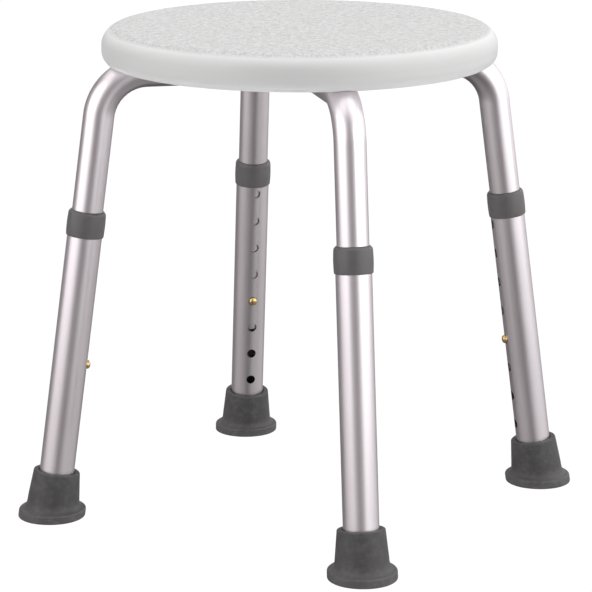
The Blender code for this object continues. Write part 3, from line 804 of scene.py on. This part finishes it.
plated_steel = steel_finish()
collar_plastic = dark_plastic_finish()
brass = brass_finish()
make_screw("centre_pan_screw", "centre_screw", "centre_saddle_washer", CENTRE_SHANK)
make_saddle("centre_saddle", "centre_saddle_washer", CENTRE_SHANK + CLEARANCE)
refinish("centre_insert", brass)
for leg in LEGS:
    make_screw(f"{leg}_arm_pan_screw", f"{leg}_arm_screw", f"{leg}_saddle_washer", ARM_SHANK)
    refinish(f"{leg}_saddle_washer", collar_plastic)
    refinish(f"{leg}_insert", brass)

# ----------------------------------------
# Snap buttons: brass studs riveted to a V of spring strip inside each upper tube. The crown stands about 3 mm
# out of the lower tube's hole and is pressed in with a thumb to let the leg slide.
# ----------------------------------------
CROWN_HEIGHT = 0.0022
CROWN_EDGE = 0.0004
CROWN_SHAPE = 0.9
BUTTON_FLANGE_STEP = 0.0012
BUTTON_FLANGE_DEPTH = 0.001
SPRING_THICKNESS = 0.0005
SPRING_BEND = 0.0025
SPRING_END = 0.006
SPRING_TURN_IN = 0.0006
SPRING_SPACING = 0.002


def make_button(side):
    low, high = span_on_leg(f"{side}_snap_button", side)
    reach = -low.x
    flange_base = -high.x
    flange = (high.z - low.z) / 2
    shaft = flange - BUTTON_FLANGE_STEP
    shoulder = reach - CROWN_HEIGHT
    flange_top = flange_base + BUTTON_FLANGE_DEPTH
    outline = [(0.0, reach)]
    for i in range(1, 13):
        angle = math.radians(90 - 7.5 * i)
        outline.append((shaft * math.cos(angle) ** CROWN_SHAPE, shoulder + CROWN_HEIGHT * math.sin(angle)))
    outline += [
        (shaft, flange_top + CROWN_EDGE),
        (shaft + CROWN_EDGE, flange_top),
        (flange - CROWN_EDGE / 2, flange_top),
        (flange, flange_top - CROWN_EDGE / 2),
        (flange, flange_base + CROWN_EDGE / 2),
        (flange - CROWN_EDGE / 2, flange_base),
        (0.0, flange_base),
    ]
    button = turned_piece(f"{side}_button", outline, 48)
    centre = Matrix.Translation((0, 0, (low.z + high.z) / 2)) @ Matrix.Rotation(-math.pi / 2, 4, "Y")
    button.data.transform(leg_matrix(side) @ centre)
    complete(button, f"{side}_button", brass, "brass", f"{side}_snap_button")


def make_spring(side):
    """A V of strip, built in place: one arm carries the button and the other rests on the wall."""
    node = f"{side}_button_spring"
    low, high = span_on_leg(node, side)
    half = SPRING_THICKNESS / 2
    carrying, resting = low.x + half, high.x - half
    bend = Vector((0, 0, high.z - half - SPRING_BEND))
    path = [Vector((carrying, 0, low.z)), Vector((carrying, 0, low.z + 2 * SPRING_END))]
    for degrees in range(180, -1, -15):
        angle = math.radians(degrees)
        path.append(bend + SPRING_BEND * Vector((math.cos(angle), 0, math.sin(angle))))
    path += [Vector((resting, 0, low.z + SPRING_END)), Vector((resting - SPRING_TURN_IN, 0, low.z + half))]
    stations = []
    for before, after in zip(path, path[1:]):
        count = max(round((after - before).length / SPRING_SPACING), 1)
        stations += [before.lerp(after, i / count) for i in range(count)]
    stations.append(path[-1])
    rings = []
    for i, point in enumerate(stations):
        along = (stations[min(i + 1, len(stations) - 1)] - stations[max(i - 1, 0)]).normalized()
        across = Vector((along.z, 0, -along.x)) * half
        aside = Vector((0, high.y, 0))
        near_edge = [point - across - aside, point + across - aside]
        rings.append([*near_edge, point + across + aside, point - across + aside])
    spring = new_piece(f"{side}_v_spring", loft_mesh(f"{side}_v_spring", rings, False))
    face_out(spring.data)
    spring.data.transform(leg_matrix(side))
    complete(spring, None, plated_steel, "steel", node)
    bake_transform(spring)


for leg in LEGS:
    make_button(leg)
    make_spring(leg)

# ----------------------------------------
# Lower legs: 28.6 mm tube that slides over the upper legs, satin anodised like them. Eight holes are drilled
# through the wall that faces the stool's middle, an inch apart. Their walls are made rougher and painted near
# black: a painted shade.
HOLE_PITCH = 0.0254
HOLE_COUNT = 8
HOLES_BELOW_BUTTON = 3
TUBE_RING_SPACING = 0.0032


def make_lower_tube(side):
    low, high = span_on_leg(f"{side}_lower_tube", side)
    inside = lower_radius - TUBE_WALL
    rows = math.ceil((high.z - low.z) / TUBE_RING_SPACING)
    levels = [high.z - END_CHAMFER - (high.z - low.z - 2 * END_CHAMFER) * i / rows for i in range(rows + 1)]
    outline = [(lower_radius - END_CHAMFER, high.z), *[(lower_radius, level) for level in levels]]
    outline += [(lower_radius - END_CHAMFER, low.z), (inside + END_CHAMFER, low.z)]
    outline += [(inside, level) for level in reversed(levels[::6])]
    outline.append((inside + END_CHAMFER, high.z))
    tube = turned_piece(f"{side}_outer_tube", outline, TUBE_SIDES, ring=True)
    face_out(tube.data)
    lowest = button_s - HOLES_BELOW_BUTTON * HOLE_PITCH
    pegs = [hole_cutter(None, lowest + HOLE_PITCH * number) for number in range(HOLE_COUNT)]
    carve(tube, *pegs)
    draw_mark(tube.data, [vertex.co + Vector((0, 0, LOWER_LEG_MARK)) for vertex in tube.data.vertices])
    tube.data.transform(leg_matrix(side))
    complete(tube, f"{side}_leg", aluminium, "anodised_aluminium", f"{side}_lower_tube")


for leg in LEGS:
    make_lower_tube(leg)

# ----------------------------------------
# Collars: barrel-shaped sleeves of dark grey plastic pressed over the lower tubes' top ends. A lip closes the
# step down to the upper tube, so that the legs slide quietly and without rattling.
# ----------------------------------------
COLLAR_TOP_ROUND = 0.0032
COLLAR_BASE_ROUND = 0.0009
COLLAR_BARREL = 0.0003
LIP_ROUND = 0.0005


def make_collar(side):
    low, high = span_on_leg(f"{side}_collar", side)
    outside = high.y
    bore = lower_radius + CLEARANCE
    lip_bore = upper_radius + CLEARANCE
    lip_level = span_on_leg(f"{side}_lower_tube", side)[1].z + CLEARANCE
    shoulder = high.z - COLLAR_TOP_ROUND
    foot = low.z + COLLAR_BASE_ROUND
    outline = [(lip_bore, high.z - LIP_ROUND), (lip_bore + LIP_ROUND * 0.3, high.z - LIP_ROUND * 0.3)]
    outline.append((lip_bore + LIP_ROUND, high.z))
    outline += round_off((outside - COLLAR_BARREL - COLLAR_TOP_ROUND, shoulder), COLLAR_TOP_ROUND, 90, 0, 10)
    for i in range(1, 12):
        share = i / 12
        bulge = COLLAR_BARREL * math.sin(math.pi * share)
        outline.append((outside - COLLAR_BARREL + bulge, shoulder + (foot - shoulder) * share))
    outline += round_off((outside - COLLAR_BARREL - COLLAR_BASE_ROUND, foot), COLLAR_BASE_ROUND, 0, -90, 5)
    outline += [(bore, low.z), (bore, lip_level), (lip_bore, lip_level)]
    collar = turned_piece(f"{side}_sleeve_collar", outline, 72, ring=True)
    face_out(collar.data)
    collar.data.transform(leg_matrix(side))
    complete(collar, f"{side}_leg", collar_plastic, "collar_plastic", f"{side}_collar")


for leg in LEGS:
    make_collar(leg)

# ----------------------------------------
# Rubber tips: moulded cups pushed over the lower tubes' ends, with a steel washer inside so that the tube
# doesn't cut through. The body follows the splayed leg while the flexible flange lies flat on the floor. The
# sole has fine concentric treads.
# ----------------------------------------
TIP_STEPS = 72
TIP_LIP_ROUND = 0.0012
TIP_BODY_TOP = 0.0192
TIP_BODY_BASE = 0.0214
TIP_BODY_BASE_S = 0.0150
FLANGE_TOP = 0.0074
FLANGE_EDGE = 0.0020
FLARE_STEPS = 8
TREAD_RADII = (0.0060, 0.0100, 0.0140, 0.0202, 0.0236)
TREAD_WIDTH = 0.0011
TREAD_DEPTH = 0.0009
LIP_WIDENING = 0.0005
MOUTH_WIDENING = 0.0008
MOUTH_DEPTH = 0.0012
LEVEL_BLEND = 0.004  # the sole's level turns into the leg's over this height
RUBBER_DUST_AND_LIGHT_GREYS = ((0.060, 0.057, 0.059), (0.140, 0.134, 0.134))
RUBBER_GRAIN_DEPTH = 0.0001


def tip_outline(high):
    """(radius, height) points down the outside and across the sole, with its treads."""
    flange = high.y
    bore = lower_radius + CLEARANCE
    outline = [(bore + LIP_WIDENING, high.z)]
    outline += round_off((TIP_BODY_TOP - TIP_LIP_ROUND, high.z - TIP_LIP_ROUND), TIP_LIP_ROUND, 90, 0, 6)
    for i in range(1, 8):
        share = i / 8
        level = high.z - TIP_LIP_ROUND + (TIP_BODY_BASE_S - high.z + TIP_LIP_ROUND) * share
        outline.append((TIP_BODY_TOP + (TIP_BODY_BASE - TIP_BODY_TOP) * share, level))
    reach = flange - FLANGE_EDGE - TIP_BODY_BASE
    drop = TIP_BODY_BASE_S - FLANGE_TOP
    for i in range(FLARE_STEPS + 1):
        angle = math.pi / 2 * i / FLARE_STEPS
        out = TIP_BODY_BASE + reach * (1 - math.cos(angle))
        outline.append((out, TIP_BODY_BASE_S - drop * math.sin(angle)))
    outline += round_off((flange - FLANGE_EDGE, FLANGE_TOP - FLANGE_EDGE), FLANGE_EDGE, 80, 0, 6)
    outline += round_off((flange - FLANGE_EDGE / 2, FLANGE_EDGE / 2), FLANGE_EDGE / 2, 0, -90, 4)
    for radius in reversed(TREAD_RADII):
        half = TREAD_WIDTH / 2
        outline += [(radius + half, 0.0), (radius + half * 0.7, TREAD_DEPTH)]
        outline += [(radius - half * 0.7, TREAD_DEPTH), (radius - half, 0.0)]
    outline.append((0.0, 0.0))
    return outline


def make_tip(side):
    """The bore is carved square to the leg, after the flange and sole have been laid level."""
    high = span_on_leg(f"{side}_rubber_tip", side)[1]
    tip = turned_piece(f"{side}_cup_tip", [(0.0, high.z), *tip_outline(high)], TIP_STEPS)
    blend = TIP_BODY_BASE_S + LEVEL_BLEND - FLANGE_TOP
    for vertex in tip.data.vertices:
        tilt = splay * (1 - smooth_step((vertex.co.z - FLANGE_TOP) / blend))
        out = vertex.co.x
        vertex.co.x = out * math.cos(tilt)
        vertex.co.z = vertex.co.z / math.cos(tilt) - out * math.sin(tilt)
    bore = lower_radius + CLEARANCE
    floor_of_bore = span_on_leg(f"{side}_tip_washer", side)[0].z - CLEARANCE
    above = high.z + 0.001
    wide = bore + MOUTH_WIDENING
    mouth = [(wide, above), (wide, high.z), (bore, high.z - MOUTH_DEPTH)]
    inside = [(0.0, above), *mouth, (bore, floor_of_bore), (0.0, floor_of_bore)]
    carve(tip, turned_piece("bore", inside, TUBE_SIDES))
    tip.data.transform(leg_matrix(side))
    complete(tip, f"{side}_leg", tip_rubber, "tip_rubber", f"{side}_rubber_tip")
    refinish(f"{side}_tip_washer", plated_steel)


def rubber_finish():
    """Dark grey rubber, dull and faintly dusty, and painted a little paler towards the flange: a painted highlight
    where the flange faces the light.
    """
    finish = Finish("tip_rubber", (0.07, 0.066, 0.067), 0.62, IOR=1.48)
    place = finish.place()
    height = finish.node("SeparateXYZ", inputs={"Vector": place}, out="Z")
    # Painted light: the tip is painted paler towards the flange, whose upward face catches the light.
    span = {"Value": height, "From Min": 0.016, "From Max": 0.004}
    flange_painted_light = finish.node("MapRange", inputs=span)
    skin = finish.noise(place, 1500.0, 3.0, 0.6)
    dust = finish.ramp(finish.noise(place, 160.0, 4.0, 0.65), 0.45, 0.78)
    shade = dust * 0.55 + flange_painted_light * 0.35
    finish.feed("Base Color", finish.tint(shade, *RUBBER_DUST_AND_LIGHT_GREYS))
    finish.feed("Roughness", dust * 0.16 + skin * 0.12 + 0.46)
    finish.bump(skin, RUBBER_GRAIN_DEPTH, 0.5)
    return finish


tip_rubber = rubber_finish()
for leg in LEGS:
    make_tip(leg)

# ----------------------------------------
# The studio: a white backdrop all round, and a floor that only gives light back from below. Cards on both
# sides of the camera draw the bright bands down the tubes, and soft fills light the rest.
# ----------------------------------------
CAMERA_AZIMUTH = math.radians(-13.4)
CAMERA_DISTANCE = 2.3388
CAMERA_HEIGHT = 0.7468
AIM_HEIGHT = 0.1757
AIM_LEFT = 0.00296
SENSOR = 36.0
LENS = 175.46
FLOOR_HALF = 8.0
FLOOR_HEIGHT = -0.12
BACKDROP_RADIUS = 30.0
BACKDROP_GLOW = 1.03
FLOOR_GLOW = 0.24
LAMP_AIM_HEIGHT = 0.22
# The cards are only reflected, and the fills only light.
LIGHTS = {
    "right_card": {"azimuth": 64, "distance": 1.6, "height": 0.72, "size": (2.5, 1.4), "glow": 1.5},
    "left_card": {"azimuth": -60, "distance": 1.6, "height": 0.72, "size": (2.1, 1.4), "glow": 1.35},
    "back_card": {"azimuth": 136, "distance": 2.2, "height": 0.9, "size": (2.0, 1.8), "glow": 0.7},
    "overhead_card": {"azimuth": 180, "distance": 0.6, "height": 4.0, "size": (7.5, 7.5), "glow": 0.8},
    "right_fill": {"azimuth": 84, "distance": 2.0, "height": 0.9, "size": (1.6, 1.4), "glow": 1.25},
    "left_fill": {"azimuth": -96, "distance": 2.0, "height": 0.9, "size": (1.6, 1.4), "glow": 0.72},
    "overhead_fill": {"azimuth": 180, "distance": 0.5, "height": 4.0, "size": (7.5, 9.0), "glow": 1.74},
}
GAP_COLOUR = (0.28, 0.268, 0.265)
LOW_SHARE = 0.40  # of the light that is left in steeply downward directions
LOW_FROM = -0.52
LOW_TO = -0.12
LOBES = {
    "right": {"azimuth": 80, "from": 0.22, "to": 0.86, "colour": (0.84, 0.83, 0.82)},
    "left": {"azimuth": -60, "from": 0.50, "to": 0.97, "colour": (0.70, 0.68, 0.665)},
}


def towards(azimuth, distance, height):
    """A place seen from the stool at that angle from the camera's own side, anticlockwise from above."""
    turn = CAMERA_AZIMUTH + azimuth
    return Vector((distance * math.sin(turn), -distance * math.cos(turn), height))


def aimed(thing, target):
    direction = Vector(target) - thing.location
    thing.rotation_euler = direction.to_track_quat("-Z", "Y").to_euler()


def make_floor():
    """Only gives light back from below. It lies lower than the tips of legs drawn right out."""
    mesh = bpy.data.meshes.new("floor")
    signs = ((-1, -1), (1, -1), (1, 1), (-1, 1))
    corners = [(x * FLOOR_HALF, y * FLOOR_HALF, FLOOR_HEIGHT) for x, y in signs]
    mesh.from_pydata(corners, [], [(0, 1, 2, 3)])
    floor = new_piece("floor", mesh)
    finish = Finish("floor_paper", (0.93, 0.93, 0.93), 0.9, Specular_IOR_Level=0.0)
    finish.shader.inputs["Emission Color"].default_value = (1.0, 1.0, 1.0, 1.0)
    finish.shader.inputs["Emission Strength"].default_value = FLOOR_GLOW
    mesh.materials.append(finish.material)
    floor.visible_camera = False
    floor.visible_glossy = False


def make_backdrop():
    """A plain white dome that is only looked at: it neither lights nor shades anything."""
    mesh = bpy.data.meshes.new("backdrop")
    shape = bmesh.new()
    bmesh.ops.create_icosphere(shape, subdivisions=3, radius=BACKDROP_RADIUS)
    shape.to_mesh(mesh)
    shape.free()
    backdrop = new_piece("backdrop", mesh)
    finish = Finish("backdrop_white", (0.0, 0.0, 0.0), 1.0, Specular_IOR_Level=0.0)
    finish.shader.inputs["Emission Color"].default_value = (1.0, 1.0, 1.0, 1.0)
    finish.shader.inputs["Emission Strength"].default_value = BACKDROP_GLOW
    mesh.materials.append(finish.material)
    backdrop.visible_diffuse = False
    backdrop.visible_glossy = False
    backdrop.visible_transmission = False
    backdrop.visible_shadow = False


def make_lights():
    for name, light in LIGHTS.items():
        data = bpy.data.lights.new(name, "AREA")
        data.shape = "RECTANGLE"
        data.size, data.size_y = light["size"]
        data.energy = light["glow"] * math.pi * data.size * data.size_y
        lamp = bpy.data.objects.new(name, data)
        lamp.location = towards(math.radians(light["azimuth"]), light["distance"], light["height"])
        lamp.visible_camera = False
        lamp.visible_diffuse = not name.endswith("card")
        lamp.visible_glossy = not name.endswith("fill")
        bpy.context.scene.collection.objects.link(lamp)
        aimed(lamp, (0, 0, LAMP_AIM_HEIGHT))


class Surround(Finish):
    """The world's own light, made with the same kind of nodes as the finishes."""

    def __init__(self, world):
        world.use_nodes = True
        self.tree = world.node_tree
        self.shader = self.tree.nodes["Background"]


def make_surround():
    """Only reflected: dark grey all round, with a broad bright lobe to each side of the camera's gap."""
    world = bpy.context.scene.world or bpy.data.worlds.new("surround")
    bpy.context.scene.world = world
    surround = Surround(world)
    world.cycles_visibility.diffuse = False
    direction = surround.node("TexCoord", out="Generated")
    level = surround.node("VectorMath", {"operation": "MULTIPLY"}, {0: direction, 1: (1.0, 1.0, 0.0)})
    level = surround.node("VectorMath", {"operation": "NORMALIZE"}, {0: level})
    colour = (*GAP_COLOUR, 1.0)
    for lobe in LOBES.values():
        way = tuple(towards(math.radians(lobe["azimuth"]), 1.0, 0.0))
        facing = surround.node("VectorMath", {"operation": "DOT_PRODUCT"}, {0: level, 1: way}, out="Value")
        span = {"Value": facing, "From Min": lobe["from"], "From Max": lobe["to"]}
        share = surround.node("MapRange", {"interpolation_type": "SMOOTHSTEP"}, span)
        sides = {0: share, 6: colour, 7: (*lobe["colour"], 1.0)}
        colour = surround.node("Mix", {"data_type": "RGBA"}, sides, out=2)
    height = surround.node("SeparateXYZ", inputs={"Vector": direction}, out="Z")
    span = {"Value": height, "From Min": LOW_FROM, "From Max": LOW_TO, "To Min": LOW_SHARE}
    dimming = surround.node("MapRange", inputs=span)
    dimmed = surround.node("VectorMath", {"operation": "SCALE"}, {0: colour, "Scale": dimming})
    surround.feed("Color", dimmed)


def make_camera():
    data = bpy.data.cameras.new("camera")
    data.sensor_width = SENSOR
    data.lens = LENS
    camera = bpy.data.objects.new("camera", data)
    camera.location = towards(0.0, CAMERA_DISTANCE, CAMERA_HEIGHT)
    bpy.context.scene.collection.objects.link(camera)
    left = Vector((-math.cos(CAMERA_AZIMUTH), -math.sin(CAMERA_AZIMUTH), 0)) * AIM_LEFT
    aimed(camera, Vector((0, 0, AIM_HEIGHT)) + left)
    bpy.context.scene.camera = camera


make_floor()
make_backdrop()
make_lights()
make_surround()
make_camera()
bpy.context.scene.view_settings.view_transform = "Standard"
